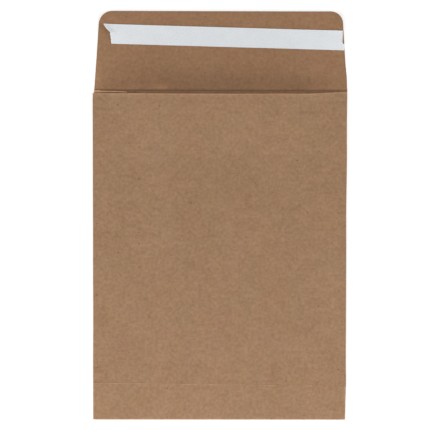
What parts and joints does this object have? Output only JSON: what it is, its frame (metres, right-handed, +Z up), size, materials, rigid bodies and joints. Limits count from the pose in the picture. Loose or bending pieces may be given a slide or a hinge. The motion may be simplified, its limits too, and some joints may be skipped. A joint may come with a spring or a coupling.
{
  "type": "cardboard envelope",
  "caption": "Flat kraft card envelope with side gussets, turned-up bottom flap, and an open closing flap carrying an adhesive strip under a torn release liner.",
  "frame": {"origin": "centre of the envelope's overall outline, on the surface that it lies on", "axes": "+Z up, away from the surface that the far panel lies on; +Y along the envelope from the bottom fold to the tip of the closing flap; +X across it"},
  "size_m": [0.254, 0.4092, 0.0092],
  "materials": {
    "kraft_card": "matte",
    "adhesive": "gloss",
    "release_liner": "satin"
  },
  "bodies": {
    "envelope": {"envelope_body": "kraft_card"},
    "flap": {"closing_flap": "kraft_card", "adhesive_strip": "adhesive", "release_liner": "release_liner"}
  },
  "joints": [
    {"name": "flap_crease", "type": "hinge", "parent": "envelope", "child": "flap", "pos_m": [0, 0.1256, 0.00531], "axis": [1, 0, 0], "range_deg": [0, 180]}
  ]
}
